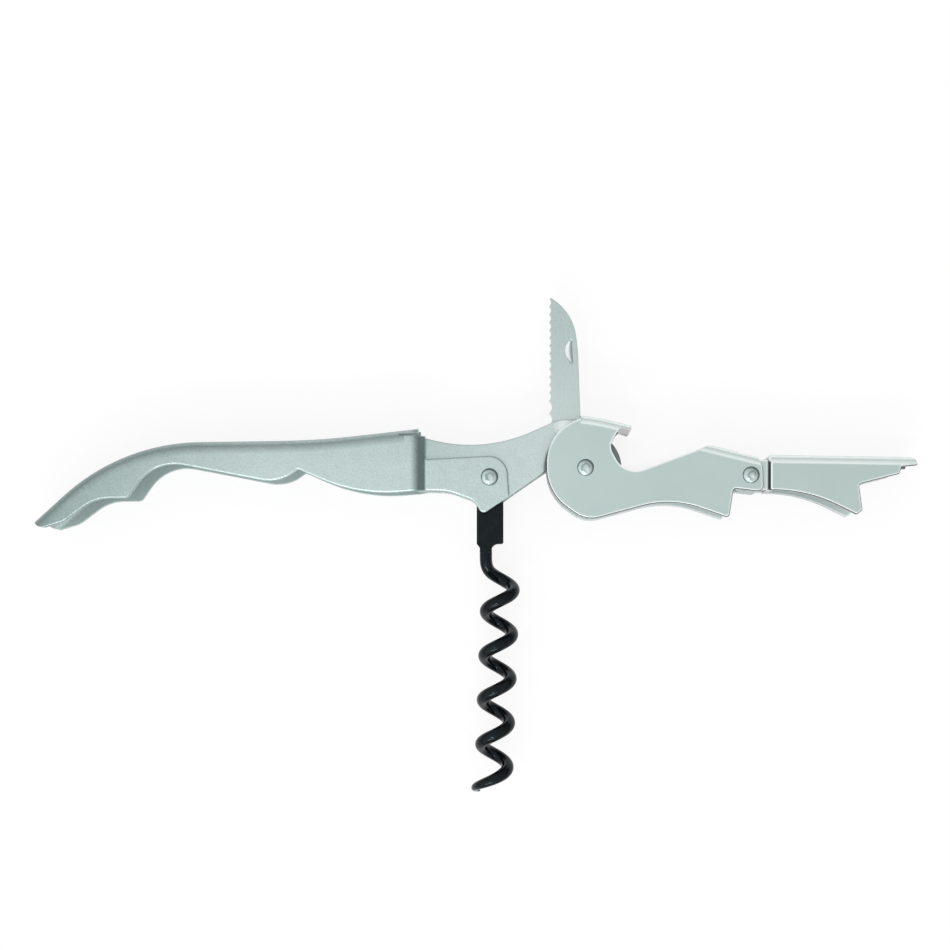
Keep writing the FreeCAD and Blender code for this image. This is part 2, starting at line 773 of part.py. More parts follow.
def add_biarc(edges, start, start_way, end, end_way):
    """Two tangent arcs from one point and direction to the next."""
    chord = end - start
    both = start_way + end_way
    spread = 2 * (1 - start_way.dot(end_way))
    lead = chord.dot(both)
    reach = (math.sqrt(lead * lead + spread * chord.dot(chord)) - lead) / spread
    first = start + start_way * reach
    last = end - end_way * reach
    middle = (first + last) / 2
    for a, control, b in ((start, first, middle), (middle, last, end)):
        half_chord = (b - a).Length / 2
        weight = half_chord / (control - a).Length
        crest = (a + b + control * (2 * weight)) / (2 + 2 * weight)
        edges.append(Part.Arc(a, crest, b).toShape())


def wire_disc(place, way, radius):
    return Part.Wire(Part.Circle(place, way, radius).toShape())


def sweep_wire(edges, discs):
    """Sweep a round wire along joined edges, through one disc or from disc to disc."""
    maker = Part.BRepOffsetAPI.MakePipeShell(Part.Wire(edges))
    for disc in discs:
        maker.add(disc)
    maker.build()
    maker.makeSolid()
    return maker.shape()


def least_self_gap(edges, radius):
    """Least clear space between stretches of a wire that are not next to each other."""
    step = radius / 3
    points = []
    for edge in edges:
        count = max(2, math.ceil(edge.Length / step) + 1)
        points += edge.discretize(Number=count)[1:]
    apart = math.ceil(math.pi * radius * 2 / step)
    nearest = min(a.distanceToPoint(b) for i, a in enumerate(points)
                  for b in points[i + apart:])
    return nearest - radius * 2


def build_wire():
    """The wound part of the worm: a neck, right-handed turns and a tapered point."""
    radius = number(size("wire_radius"))
    neck_x = number(WORM[0] + size("neck_x"))
    middle_z = number(SHANK_MIDDLE)
    down = FreeCAD.Vector(0, -1, 0)
    neck_start = FreeCAD.Vector(neck_x, number(WORM[1] + size("neck_start_y")), middle_z)
    neck_end = FreeCAD.Vector(neck_x, number(WORM[1] + size("neck_end_y")), middle_z)
    first = number(size("helix_first_angle"))
    taper = number(size("helix_taper_angle"))
    last = number(size("helix_last_angle"))
    even = [Part.LineSegment(neck_start, neck_end).toShape()]
    add_biarc(even, neck_end, down, *helix_point(first))
    quarters = round((taper - first) / 90)
    step = (taper - first) / quarters
    for i in range(quarters):
        add_biarc(even, *helix_point(first + i * step), *helix_point(first + (i + 1) * step))
    thinning = []
    pieces = round((last - taper) / 72)
    step = (last - taper) / pieces
    for i in range(pieces):
        add_biarc(thinning, *helix_point(taper + i * step),
                  *helix_point(taper + (i + 1) * step))
    body_wire = sweep_wire(even, [wire_disc(neck_start, down, radius)])
    end_place, end_way = helix_point(taper)
    tip_place, tip_way = helix_point(last)
    point = sweep_wire(thinning, [
        wire_disc(end_place, end_way, radius),
        wire_disc(tip_place, tip_way, number(size("point_radius")))])
    tightest = min(edge.Curve.Radius for edge in even[1:] + thinning)
    gap = least_self_gap(even + thinning, radius)
    if gap < LEAST_WIRE_GAP:
        raise RuntimeError("the worm's turns are too close together")
    print(f"worm wire: tightest bend {tightest:.2f}, wire radius {radius:.2f}, "
          f"least gap to itself {gap:.2f}")
    wire = doc.addObject("Part::Feature", "worm_wire")
    wire.Shape = body_wire.fuse(point)
    return wire


grip = build_grip()
plate_front = build_head_plate("head_plate_front", PLATE_INNER, PLATE_OUTER)
plate_back = build_head_plate("head_plate_back", -PLATE_OUTER, PLATE_OUTER)
worm_rivet = build_rivet("worm_rivet", *WORM, size("worm_rivet_radius"),
                         size("worm_rivet_head_radius"), size("worm_rivet_head_height"),
                         TAB_OUTER)
side = size("side_clearance")
lever_rivet = build_rivet("lever_rivet", ORIGIN_X, ORIGIN_Y, size("rivet_radius"),
                          size("rivet_head_radius"), size("rivet_head_height"),
                          HALF_WIDTH + side)
stage_rivet = build_rivet("stage_rivet", *HINGE, size("rivet_radius"),
                          size("rivet_head_radius"), size("rivet_head_height"),
                          HALF_WIDTH)
washer_thickness = CHEEK_INNER - PLATE_OUTER - side * 2
washer_front = build_ring("lever_washer_front", PLATE_OUTER + side, washer_thickness,
                          size("washer_radius"), size("rivet_radius"))
washer_back = build_ring("lever_washer_back", -CHEEK_INNER + side, washer_thickness,
                         size("washer_radius"), size("rivet_radius"))
spacer = build_ring("blade_spacer", -PLATE_INNER + side,
                    BLADE_LOW + PLATE_INNER - side * 2, size("spacer_radius"), LEVER_BORE)
stage_1 = build_stage_1()
stage_2 = build_stage_2()
blade = build_blade()
worm = doc.addObject("Part::Fuse", "worm")
worm.Label = "worm"
worm.Base = build_shank()
worm.Tool = build_wire()
doc.recompute()

nodes = [
    grip, plate_front, plate_back, worm_rivet, lever_rivet, washer_front, washer_back,
    spacer, stage_1, stage_rivet, stage_2, blade, worm,
]

# Move every piece so that the origin is under the middle of the open tool
boxes = [node.Shape.optimalBoundingBox(False) for node in nodes]
add_cell("frame_x", -(min(b.XMin for b in boxes) + max(b.XMax for b in boxes)) / 2)
add_cell("frame_y", -(min(b.YMin for b in boxes) + max(b.YMax for b in boxes)) / 2)
add_cell("frame_z", -min(b.ZMin for b in boxes))
for node in nodes:
    for axis in "xyz":
        node.setExpression(f"Placement.Base.{axis}", f"Sizes.frame_{axis}")
doc.recompute()

for item in doc.Objects:
    if "Invalid" in item.State or "Error" in item.State:
        raise RuntimeError(f"{item.Label} did not rebuild")
os.makedirs("parts", exist_ok=True)
for node in nodes:
    shape = node.Shape
    if shape.isNull() or not shape.isValid() or len(shape.Solids) != 1:
        raise RuntimeError(f"{node.Label} is not one valid solid")
    shape.exportStep(f"parts/{node.Label}.step")
    box = shape.optimalBoundingBox(False)
    print(f"{node.Label}: {shape.Volume:.1f} mm3, "
          f"x {box.XMin:.2f} to {box.XMax:.2f}, y {box.YMin:.2f} to {box.YMax:.2f}, "
          f"z {box.ZMin:.2f} to {box.ZMax:.2f}")
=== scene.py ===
"""Looks of the waiter's corkscrew: steel, plating and coating finishes, studio and camera.

It also winds the worm's wire, shapes the worm's flat top and hollows out the nail nick.
The tool lies open on its side on a pale floor. X runs from the grip to the lever's tip,
Y points away from the worm, and Z points up, along every rivet.
"""
import math

import bmesh
import bpy
from mathutils import Matrix, Vector


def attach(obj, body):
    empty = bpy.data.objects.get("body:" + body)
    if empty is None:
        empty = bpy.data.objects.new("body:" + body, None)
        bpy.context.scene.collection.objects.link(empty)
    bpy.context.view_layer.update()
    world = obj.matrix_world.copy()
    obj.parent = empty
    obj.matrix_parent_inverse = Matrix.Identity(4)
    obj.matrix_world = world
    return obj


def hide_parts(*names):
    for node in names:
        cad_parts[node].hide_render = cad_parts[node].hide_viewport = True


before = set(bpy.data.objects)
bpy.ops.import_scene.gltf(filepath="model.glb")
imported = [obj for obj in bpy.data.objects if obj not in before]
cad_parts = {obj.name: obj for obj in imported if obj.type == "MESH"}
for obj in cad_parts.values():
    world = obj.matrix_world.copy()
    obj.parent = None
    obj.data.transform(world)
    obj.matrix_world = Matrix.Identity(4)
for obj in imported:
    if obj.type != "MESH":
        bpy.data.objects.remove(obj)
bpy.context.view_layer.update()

# Tones of the finishes, as plain colours
SATIN_STEEL = (0.56, 0.67, 0.652)
SATIN_STEEL_DEEP = (0.27, 0.35, 0.345)
BRIGHT_STEEL = (0.80, 0.86, 0.85)
# Painted highlight: the nick's lit sides, the lever's shoulders and one bright spot on the plates
HIGHLIGHT_STEEL = (0.88, 0.93, 0.925)
STEEL_INSIDE = (0.37, 0.45, 0.44)
PLATING = (0.53, 0.64, 0.62)
PLATING_DEEP = (0.5, 0.61, 0.59)
# Painted highlight on the plating's bends
PLATING_BEND_HIGHLIGHT = (0.88, 0.98, 0.955)
PLATING_INSIDE = (0.55, 0.63, 0.62)
RIVET_DEEP = (0.16, 0.21, 0.205)
# Painted shade round the rivet heads and under and round the lever's round head
PAINTED_DARK_SHADE = (0.07, 0.095, 0.095)
# Painted shade, drawn as a dark outline along the plating's rims
RIM_SHADE = (0.05, 0.065, 0.065)
BLACK_COATING = (0.0015, 0.0022, 0.0028)
BLACK_COATING_WORN = (0.012, 0.015, 0.017)
COATING_SHEEN = (0.72, 0.9, 1.0)

# Rivet centres and head radii, the lever's round head and the tool's middle, in metres
LEVER_RIVET = (0.021832, 0.015405)
STAGE_RIVET = (0.054332, 0.013955)
WORM_RIVET = (0.002932, 0.013705)
LEVER_RIVET_HEAD = 0.00165
STAGE_RIVET_HEAD = 0.00165
WORM_RIVET_HEAD = 0.0017
LEVER_HEAD = 0.0077
MIDDLE = 0.00605
MM = 0.001

# Widths of worn edges, which also carry a painted highlight, and of the lever's painted highlight
# on its shoulder, in metres
BODY_EDGE = 0.0003
BLADE_EDGE = 0.0002
RIVET_EDGE = 0.0002
WASHER_EDGE = 0.00015
COATING_EDGE = 0.0002
LEVER_SHOULDER = 0.0007

# Where painted shade and painted light begin and end, and where the blade is wiped bright, in
# metres along X, or along Y on the blade
GRIP_TAIL_SHADE = (-0.086, -0.042)
JOGGLE_SHADE = (-0.0127, -0.0112)
JOGGLE_END = -0.0099
PLATE_SHADE = (-0.01, 0.006)
PLATE_PAINTED_LIGHT = (-0.006, 0.014)
BLADE_WIPED = (0.024, 0.044)

# A painted highlight spot on the plates, and the line of the grip's back, in metres
HIGHLIGHT_SPOT = (0.0176, 0.0236)
GRIP_BACK = ((-0.0875, 0.0025), (-0.0800, 0.0110), (-0.0720, 0.0170), (-0.0640, 0.0199),
             (-0.0540, 0.0211), (-0.0420, 0.0213), (-0.0300, 0.0217), (-0.0190, 0.0228),
             (-0.0100, 0.0234))

# How far a face looks along the rivets, from 1 on the flats to 0 on the spine: each kind of
# face begins at the first number and is full at the second
BENDS = (0.9997, 0.985)
RIMS = (0.96, 0.86)
SPINE = (0.5, 0.25)
# How far a face looks away from the worm, where a rim's painted dark outline of shade begins and
# is full
RIM_SIDE = (0.35, 0.15)
# How far off the tool's middle a face that looks inwards lies, in metres, where it begins
# to count as an inner one and where it does in full
INNER_FACES = (0.0004, 0.0012)

# Flat top of the worm, in millimetres: corners from its rivet with their rounding, heights
# above the floor, rounding of the edges and the rivet's hole
SHANK = ((-2.65, 2.65, 2.6), (2.65, 2.65, 2.6), (2.65, -13.1, 0.4), (0.3, -13.2, 1.3),
         (0.25, -14.9, 0.3), (-1.97, -14.9, 0.3), (-2.05, -13.9, 0.5), (-2.65, -13.1, 0.4))
SHANK_LOW = 4.25
SHANK_HIGH = 6.65
SHANK_ROUNDING = 0.22
RIVET_HOLE = 1.15
HOLE_SIDES = 48

# The most that one step round a rounded corner turns, in radians
ARC_STEP = 0.16

# The worm's wire, from its rivet, in millimetres and degrees: neck, lead-in, turns, point
WIRE_RADIUS = 1.25
WIRE_RINGS = 460
WIRE_SIDES = 28
NECK = (-0.86, -13.8, -15.6, -0.6)
NECK_STEPS = 4
LEAD_STEPS = 12
LEAD_PULL = 0.42
COIL_AXIS = 2.78
COIL_RADIUS = 2.7
COIL_TILT = 1.98
COIL_START = -22.3
COIL_PITCH = 8.85
COIL_FIRST = -120.0
COIL_TAPER = 1485.0
COIL_LAST = 1672.0
COIL_STEP = 9
POINT_SPREAD = 1.9
POINT_LIFT = 0.4
POINT_RADIUS = 0.16
POINT_BLUNTNESS = 0.6

# Nail nick, in millimetres: outline from the lever rivet, heights of its floor and the face
NICK = ((-2.62, 26.2, 0.25), (-4.66, 23.3, 2.75), (-2.24, 20.62, 0.25))
NICK_FLOOR = 7.5
BLADE_FACE = 7.85

# The nick's hollow: steps along and across it, the power of its slope and, in millimetres,
# how far it is lifted off the nick's floor, how much less than the nick's depth it rises,
# how far its underside is sunk below the floor and how far it is moved to the left
HOLLOW_STEPS = 24
HOLLOW_COLUMNS = 10
HOLLOW_SLOPE = 1.7
HOLLOW_LIFT = 0.01
HOLLOW_SHORT = 0.006
HOLLOW_SUNK = 0.05
HOLLOW_SHIFT = 0.05

# Light tent: levels by the height of a direction, from the horizon to overhead, and how
# much brighter it is towards the tail and the worm side
TENT_LEVELS = ((0.0, 0.3), (0.12, 0.4), (0.3, 0.75), (0.5, 0.95), (0.75, 0.95), (1.0, 1.0))
TENT_LEAN = (-0.32, -0.36, 0.0)

# Floor: half its width in metres, the paper's grey and the share of it that glows to the eye
FLOOR_REACH = 3.0
PAPER_GREY = 0.95
FLOOR_GLOW = 0.86

# Lamps: place and size in metres, and power in watts
FRONT_SOFT_BOX = ((-0.1, -0.6, 0.5), (0.5, 0.1), 1.6)
WORM_STRIP_LIGHT = ((-0.12, -0.3, 0.62), (0.06, 0.03), 0.35)

# Camera: the image and its shift in pixels, lens in millimetres, place in metres
IMAGE_SIDE = 950
IMAGE_SHIFT = (-61, 125)
SENSOR_WIDTH = 36.0
LENS = 54.947
NEAREST_SEEN = 0.01
CAMERA_PLACE = (0.012114, -0.010606, 0.29605)


class Finish:
    """A surface finish, wired up from the shader backwards."""

    def __init__(self, name):
        self.material = bpy.data.materials.new(name)
        self.material.use_nodes = True
        self.nodes = self.material.node_tree.nodes
        self.links = self.material.node_tree.links
        self.nodes.clear()
        output = self.nodes.new("ShaderNodeOutputMaterial")
        self.shader = self.nodes.new("ShaderNodeBsdfPrincipled")
        self.links.new(self.shader.outputs["BSDF"], output.inputs["Surface"])
        coordinates = self.nodes.new("ShaderNodeTexCoord")
        self.place = coordinates.outputs["Object"]
        self.facing = coordinates.outputs["Normal"]

    def node(self, kind, **settings):
        """A new node with its settings."""
        made = self.nodes.new(kind)
        for key, value in settings.items():
            setattr(made, key, value)
        return made

    def put(self, socket, value):
        """Link an output to a socket, or set the socket to a plain value."""
        if isinstance(value, bpy.types.NodeSocket):
            self.links.new(value, socket)
        else:
            socket.default_value = value

    def axes(self, vector):
        """The X, Y and Z of a vector, by name."""
        parts = self.node("ShaderNodeSeparateXYZ")
        self.put(parts.inputs["Vector"], vector)
        return parts.outputs

    def math(self, operation, first, second):
        """A calculation on two values; some kinds use only the first."""
        made = self.node("ShaderNodeMath", operation=operation)
        self.put(made.inputs[0], first)
        self.put(made.inputs[1], second)
        return made.outputs["Value"]

    def spread(self, value, low, high, out_low, out_high):
        """Take a range of a value to another range, and hold it there."""
        made = self.node("ShaderNodeMapRange")
        self.put(made.inputs["Value"], value)
        for socket, number in zip(("From Min", "From Max", "To Min", "To Max"),
                                  (low, high, out_low, out_high)):
            made.inputs[socket].default_value = number
        return made.outputs["Result"]

    def blend(self, amount, first, second):
        """A colour between two colours."""
        made = self.node("ShaderNodeMix", data_type="RGBA")
        self.put(made.inputs["Factor"], amount)
        for socket, value in ((made.inputs[6], first), (made.inputs[7], second)):
            self.put(socket, value if isinstance(value, bpy.types.NodeSocket)
                     else (*value, 1.0))
        return made.outputs[2]

    def noise(self, scale, detail, roughness, where=None):
        """A cloudy pattern, mostly between 0.3 and 0.7, on Object or other coordinates."""
        made = self.node("ShaderNodeTexNoise")
        self.put(made.inputs["Vector"], self.place if where is None else where)
        made.inputs["Scale"].default_value = scale
        made.inputs["Detail"].default_value = detail
        made.inputs["Roughness"].default_value = roughness
        return made.outputs["Fac"]

    def stretched(self, scale, turn=0.0):
        """Object coordinates, turned about Z and scaled along each axis."""
        mapping = self.node("ShaderNodeMapping")
        self.put(mapping.inputs["Vector"], self.place)
        mapping.inputs["Rotation"].default_value = (0.0, 0.0, turn)
        mapping.inputs["Scale"].default_value = scale
        return mapping.outputs["Vector"]

    def from_axis(self, x, y):
        """Distance from an upright line, in metres."""
        mapping = self.node("ShaderNodeMapping")
        self.put(mapping.inputs["Vector"], self.place)
        mapping.inputs["Location"].default_value = (-x, -y, 0.0)
        mapping.inputs["Scale"].default_value = (1.0, 1.0, 0.0)
        made = self.node("ShaderNodeVectorMath", operation="LENGTH")
        self.put(made.inputs[0], mapping.outputs["Vector"])
        return made.outputs["Value"]

    def below_line(self, points):
        """Distance below a line given by points (x, y), in metres, at the same x."""
        left, right = points[0][0], points[-1][0]
        low = min(y for _, y in points)
        high = max(y for _, y in points)
        place = self.axes(self.place)
        line = self.node("ShaderNodeFloatCurve")
        curve = line.mapping.curves[0]
        scaled = [((x - left) / (right - left), (y - low) / (high - low)) for x, y in points]
        curve.points[0].location = scaled[0]
        curve.points[1].location = scaled[-1]
        for point in scaled[1:-1]:
            curve.points.new(*point)
        line.mapping.update()
        self.put(line.inputs["Value"], self.spread(place["X"], left, right, 0.0, 1.0))
        top = self.spread(line.outputs["Value"], 0.0, 1.0, low, high)
        return self.math("SUBTRACT", top, place["Y"])

    def bent_over(self, start, end):
        """0 on the flats that face along the rivets, 1 where the sheet turns away."""
        flat = self.math("ABSOLUTE", self.axes(self.facing)["Z"], 0.0)
        return self.spread(flat, start, end, 0.0, 1.0)

    def rim_outline(self):
        """1 on rolled rims and cut edges, 0 on the flats and on faces turned off the worm."""
        return self.math("MULTIPLY", self.bent_over(*RIMS),
                         self.spread(self.axes(self.facing)["Y"], *RIM_SIDE, 0.0, 1.0))

    def turned_inwards(self):
        """1 on faces off the middle of the tool's thickness that look back to it, 0 elsewhere."""
        away = self.math("SUBTRACT", self.axes(self.place)["Z"], MIDDLE)
        outwards = self.math("MULTIPLY", away, self.axes(self.facing)["Z"])
        begins, full = INNER_FACES
        return self.spread(outwards, -begins, -full, 0.0, 1.0)

    def edge_turn(self, radius):
        """1 on open faces, falling towards an edge, and the normal softened across it."""
        soft = self.node("ShaderNodeBevel", samples=8)
        soft.inputs["Radius"].default_value = radius
        hard = self.node("ShaderNodeNewGeometry")
        turn = self.node("ShaderNodeVectorMath", operation="DOT_PRODUCT")
        self.put(turn.inputs[0], soft.outputs["Normal"])
        self.put(turn.inputs[1], hard.outputs["Normal"])
        return turn.outputs["Value"], soft.outputs["Normal"]

    def edge_rub_and_sheen(self, radius):
        """How far a point is onto an edge, worn and lit by a painted highlight, and the normal
        softened across it.
        """
        turn, softened = self.edge_turn(radius)
        return self.spread(turn, 0.98, 0.75, 0.0, 1.0), softened

    def bump(self, height, strength, depth, normal=None):
        """The normal of a rough surface, on the piece's own normal or a softened one."""
        made = self.node("ShaderNodeBump")
        made.inputs["Strength"].default_value = strength
        made.inputs["Distance"].default_value = depth
        self.put(made.inputs["Height"], height)
        if normal is not None:
            self.put(made.inputs["Normal"], normal)
        return made.outputs["Normal"]

    def finish(self, **sockets):
        """Fill in the shader's sockets, named in lower case, and give the material."""
        for name, value in sockets.items():
            name = name.replace("_", " ").title().replace("Ior", "IOR")
            if isinstance(value, tuple):
                value = (*value, 1.0)
            self.put(self.shader.inputs[name], value)
        return self.material


def grip_painted_shade(steel, deep):
    """Painted shade along the grip's back, towards its tail and on the step of the shell."""
    x = steel.axes(steel.place)["X"]
    below = steel.below_line(GRIP_BACK)
    back = steel.math("ADD", steel.spread(below, 0.0002, 0.003, 0.34, 0.0),
                      steel.spread(below, 0.0, 0.0075, 0.14, 0.0))
    tail = steel.spread(x, *GRIP_TAIL_SHADE, 0.68, 0.0)
    step = steel.math("MULTIPLY", steel.spread(x, *JOGGLE_SHADE, 0.0, 0.7),
                      steel.math("LESS_THAN", x, JOGGLE_END))
    deep = steel.math("ADD", deep, steel.math("ADD", back, tail))
    return steel.math("ADD", deep, step)


def plate_painted_shade(steel, deep):
    """Painted shade, darker towards the grip."""
    x = steel.axes(steel.place)["X"]
    return steel.math("ADD", deep, steel.spread(x, *PLATE_SHADE, 0.18, 0.0))


def plate_painted_light(steel, tone):
    """Painted light towards the lever and in one highlight spot, painted shade under and round
    its head.
    """
    x = steel.axes(steel.place)["X"]
    # Painted light towards the lever, then a painted highlight spot
    tone = steel.blend(steel.spread(x, *PLATE_PAINTED_LIGHT, 0.0, 0.2), tone, BRIGHT_STEEL)
    spot = steel.spread(steel.from_axis(*HIGHLIGHT_SPOT), 0.0003, 0.0022, 1.0, 0.0)
    tone = steel.blend(spot, tone, HIGHLIGHT_STEEL)
    # Painted shade under and round the lever's round head
    head_shadow = steel.spread(steel.from_axis(*LEVER_RIVET), LEVER_HEAD + 0.0003,
                         LEVER_HEAD + 0.0007, 0.8, 0.0)
    return steel.blend(head_shadow, tone, PAINTED_DARK_SHADE)


def blasted_steel(name, grain, low_gloss, high_gloss, add_shade, add_light=None):
    """Bead-blasted steel: a fine even grain, cloudy tone, rubbed edges and duller insides.

    Its rubbed edges also carry a painted highlight. The first function given adds painted shade
    to the depth of its tone, and the second, if any, paints light and shade on the tone after
    that.
    """
    steel = Finish(name)
    fine = steel.noise(grain, 2.0, 0.7)
    cloud = steel.noise(420.0, 3.0, 0.6)
    rub_and_sheen, softened = steel.edge_rub_and_sheen(BODY_EDGE)
    deep = steel.spread(fine, 0.36, 0.66, 0.02, 0.24)
    deep = steel.math("ADD", deep, steel.spread(cloud, 0.3, 0.7, 0.0, 0.1))
    # The tone is deepened by the painted shade of the first function given
    tone = steel.blend(add_shade(steel, deep), SATIN_STEEL, SATIN_STEEL_DEEP)
    if add_light:
        tone = add_light(steel, tone)
    # Worn edges, lightened partly as a painted highlight
    tone = steel.blend(steel.math("MULTIPLY", rub_and_sheen, 0.6), tone, BRIGHT_STEEL)
    inside = steel.turned_inwards()
    tone = steel.blend(steel.math("MULTIPLY", inside, 0.8), tone, STEEL_INSIDE)
    return steel.finish(
        base_color=tone, metallic=steel.spread(inside, 0.0, 1.0, 1.0, 0.3),
        roughness=steel.spread(fine, 0.3, 0.7, low_gloss, high_gloss),
        normal=steel.bump(fine, 0.45, 0.00008, softened))


def bright_plating(name, gloss):
    """Polished plating with a faint haze and hairline scratches.

    Painted highlights lie on its bends and shoulders, painted shade on its rims; its insides are
    duller.
    """
    plate = Finish(name)
    haze = plate.noise(90.0, 2.0, 0.5)
    hairs = plate.noise(1.0, 1.0, 0.5, plate.stretched((9000.0, 350.0, 350.0), 0.6))
    shoulder, _ = plate.edge_turn(LEVER_SHOULDER)
    bent = plate.math("MULTIPLY", plate.bent_over(*BENDS),
                      plate.math("SUBTRACT", 1.0, plate.bent_over(*SPINE)))
    inside = plate.turned_inwards()
    tone = plate.blend(plate.spread(haze, 0.35, 0.7, 0.0, 1.0), PLATING, PLATING_DEEP)
    # Painted highlight on the bends
    tone = plate.blend(bent, tone, PLATING_BEND_HIGHLIGHT)
    tone = plate.blend(inside, tone, PLATING_INSIDE)
    # Painted highlight on the shoulders along the edges
    tone = plate.blend(plate.spread(shoulder, 0.992, 0.975, 0.0, 0.9), tone, HIGHLIGHT_STEEL)
    # Painted shade as a dark outline along the rims
    tone = plate.blend(plate.rim_outline(), tone, RIM_SHADE)
    dull = plate.math("MAXIMUM", plate.math("MULTIPLY", bent, 0.3),
                      plate.math("MULTIPLY", inside, 0.4))
    rough = plate.math("ADD", plate.spread(haze, 0.3, 0.7, gloss, gloss + 0.05),
                       plate.spread(hairs, 0.66, 0.74, 0.0, 0.06))
    return plate.finish(
        base_color=tone, metallic=plate.spread(dull, 0.0, 0.4, 1.0, 0.4),
        roughness=plate.math("MAXIMUM", rough, dull),
        normal=plate.bump(hairs, 0.05, 0.00001))


def ground_blade(name):
    """Blade steel: a blasted face wiped bright near the head, grinding lines, worn edges with a
    painted highlight.
    """
    blade = Finish(name)
    lines = blade.noise(1.0, 2.0, 0.6, blade.stretched((3800.0, 500.0, 3800.0)))
    grain = blade.noise(3600.0, 2.0, 0.7)
    rub_and_sheen, softened = blade.edge_rub_and_sheen(BLADE_EDGE)
    deep = blade.math("ADD", blade.spread(lines, 0.3, 0.7, 0.1, 0.2),
                      blade.spread(grain, 0.36, 0.66, 0.0, 0.2))
    wiped = blade.spread(blade.axes(blade.place)["Y"], *BLADE_WIPED, 0.28, 0.0)
    tone = blade.blend(deep, SATIN_STEEL, SATIN_STEEL_DEEP)
    tone = blade.blend(wiped, tone, BRIGHT_STEEL)
    # Worn edges, lightened partly as a painted highlight
    tone = blade.blend(blade.math("MULTIPLY", rub_and_sheen, 0.6), tone, BRIGHT_STEEL)
    return blade.finish(
        base_color=tone, metallic=1.0, roughness=blade.spread(grain, 0.3, 0.7, 0.28, 0.4),
        normal=blade.bump(blade.math("ADD", lines, grain), 0.22, 0.00005, softened))


def ground_hollow(name):
    """The nail nick's ground steel, with painted shade on its floor and a painted highlight up
    its sides.
    """
    hollow = Finish(name)
    z = hollow.axes(hollow.place)["Z"]
    depth = hollow.spread(z, NICK_FLOOR * MM, BLADE_FACE * MM, 0.0, 1.0)
    lines = hollow.noise(1.0, 2.0, 0.6, hollow.stretched((6000.0, 600.0, 600.0)))
    # Painted shade on the floor, painted highlight up the sides
    tone = hollow.blend(hollow.spread(depth, 0.05, 0.4, 0.0, 1.0), SATIN_STEEL_DEEP,
                        HIGHLIGHT_STEEL)
    return hollow.finish(
        base_color=tone, metallic=hollow.spread(depth, 0.0, 0.4, 1.0, 0.2),
        roughness=hollow.spread(lines, 0.3, 0.7, 0.25, 0.38),
        normal=hollow.bump(lines, 0.2, 0.00003))


def rivet_steel(name, centre, head):
    """A turned rivet head: polished dome, faint hammer marks, painted shade round its rim.

    head is its radius. A painted highlight and a ring of painted shade lie a little off centre.
    """
    rivet = Finish(name)
    marks = rivet.noise(1400.0, 1.0, 0.5)
    cloud = rivet.noise(900.0, 2.0, 0.5)
    away = rivet.from_axis(*centre)
    _, softened = rivet.edge_rub_and_sheen(RIVET_EDGE)
    turned = rivet.math("ADD", rivet.math("MULTIPLY", away, 6500.0),
                        rivet.math("MULTIPLY", cloud, 7.0))
    swirl = rivet.math("SINE", turned, 0.0)
    tone = rivet.blend(rivet.spread(cloud, 0.35, 0.65, 0.0, 1.0), PLATING, PLATING_DEEP)
    tone = rivet.blend(rivet.spread(swirl, -0.2, 1.0, 0.0, 0.6), tone, RIVET_DEEP)
    # Painted highlight on the crown, off the centre
    crown = rivet.from_axis(centre[0] + head * 0.22, centre[1] - head * 0.26)
    tone = rivet.blend(rivet.spread(crown, head * 0.08, head * 0.42, 0.75, 0.0), tone,
                       BRIGHT_STEEL)
    # Painted shade in a ring a little off the centre, and round the rim of the head
    ring = rivet.from_axis(centre[0] - head * 0.07, centre[1] - head * 0.07)
    tone = rivet.blend(rivet.spread(ring, head * 0.74, head * 0.98, 0.0, 0.85), tone,
                       PAINTED_DARK_SHADE)
    tone = rivet.blend(rivet.spread(away, head * 0.9, head * 0.98, 0.0, 0.9), tone,
                       PAINTED_DARK_SHADE)
    return rivet.finish(
        base_color=tone, metallic=1.0, roughness=rivet.spread(marks, 0.3, 0.7, 0.14, 0.28),
        normal=rivet.bump(marks, 0.4, 0.0001, softened))


def washer_steel(name):
    """Plain washers and the spacer under the knife: dull, cloudy steel with rubbed edges that
    carry a painted highlight.
    """
    washer = Finish(name)
    cloud = washer.noise(2600.0, 2.0, 0.6)
    rub_and_sheen, softened = washer.edge_rub_and_sheen(WASHER_EDGE)
    tone = washer.blend(washer.spread(cloud, 0.3, 0.7, 0.0, 1.0), SATIN_STEEL_DEEP, SATIN_STEEL)
    # Worn edges, lightened partly as a painted highlight
    tone = washer.blend(washer.math("MULTIPLY", rub_and_sheen, 0.4), tone, BRIGHT_STEEL)
    return washer.finish(
        base_color=tone, metallic=1.0, roughness=washer.spread(cloud, 0.3, 0.7, 0.35, 0.5),
        normal=washer.bump(cloud, 0.25, 0.00005, softened))


def slick_coating(name):
    """Black non-stick coating on the worm: soft orange peel, cloudy wear and rubbed edges with a
    painted highlight.
    """
    coat = Finish(name)
    peel = coat.noise(1500.0, 2.0, 0.5)
    cloud = coat.noise(700.0, 3.0, 0.6)
    rub_and_sheen, softened = coat.edge_rub_and_sheen(COATING_EDGE)
    tone = coat.blend(coat.spread(cloud, 0.5, 0.75, 0.0, 0.5), BLACK_COATING,
                      BLACK_COATING_WORN)
    # Worn edges, lightened partly as a painted highlight
    tone = coat.blend(coat.math("MULTIPLY", rub_and_sheen, 0.5), tone, BLACK_COATING_WORN)
    return coat.finish(
        base_color=tone, metallic=0.0, roughness=coat.spread(peel, 0.3, 0.7, 0.1, 0.22),
        specular_ior_level=0.22, specular_tint=COATING_SHEEN,
        normal=coat.bump(peel, 0.35, 0.00006, softened))


def dress(material, *nodes):
    """Give nodes of the frame their finish."""
    for node in nodes:
        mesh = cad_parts[node].data
        mesh.materials.clear()
        mesh.materials.append(material)


